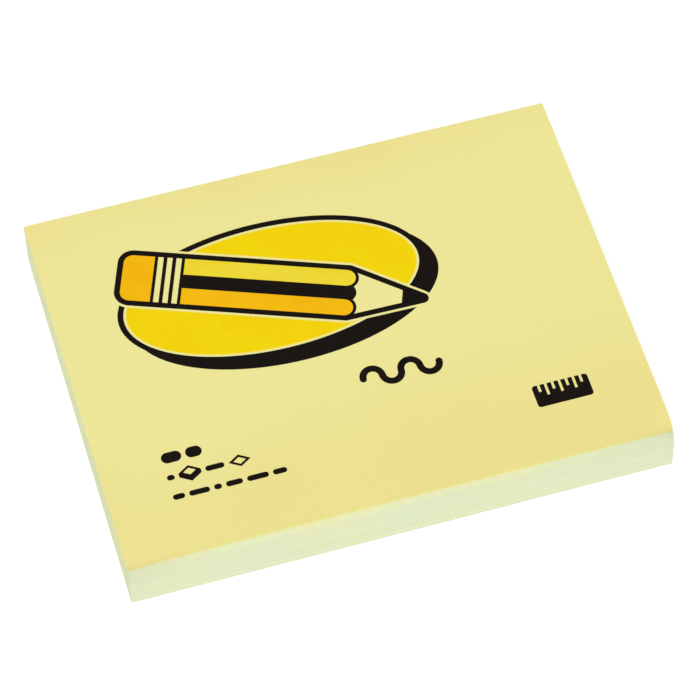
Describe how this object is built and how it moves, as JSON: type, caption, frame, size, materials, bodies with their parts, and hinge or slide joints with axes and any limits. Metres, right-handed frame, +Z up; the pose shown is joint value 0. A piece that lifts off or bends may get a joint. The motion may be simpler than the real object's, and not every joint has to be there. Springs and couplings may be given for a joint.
{
  "type": "sticky note pad",
  "caption": "Rectangular pad of yellow repositionable notes, stuck together along the back edge, with a printed cover sheet and a plain backing sheet.",
  "frame": {"origin": "on the ground, under the middle of the pad", "axes": "+X along the glued back edge, the pad's longest side, +Y from the free front edge to the glued back edge, +Z up out of the printed cover"},
  "size_m": [0.102, 0.077, 0.0102],
  "materials": {
    "note_paper": "uncoated yellow writing paper, pale where it is cut",
    "cover_paper": "uncoated yellow writing paper, matt",
    "backing_paper": "smooth off-white release paper",
    "golden_ink": "offset-printed golden yellow, matt",
    "orange_ink": "offset-printed orange, matt",
    "yellow_ink": "offset-printed light yellow, matt",
    "black_ink": "offset-printed black, matt"
  },
  "bodies": {
    "root": {"backing_sheet": "backing_paper", "note_block": "note_paper", "cover_sheet": "cover_paper", "badge_golden_ink": "golden_ink", "badge_black_ink": "black_ink", "pencil_black_ink": "black_ink", "pencil_orange_ink": "orange_ink", "pencil_yellow_ink": "yellow_ink", "wavy_line_ink": "black_ink", "small_rows_ink": "black_ink", "ruler_ink": "black_ink"}
  },
  "joints": []
}
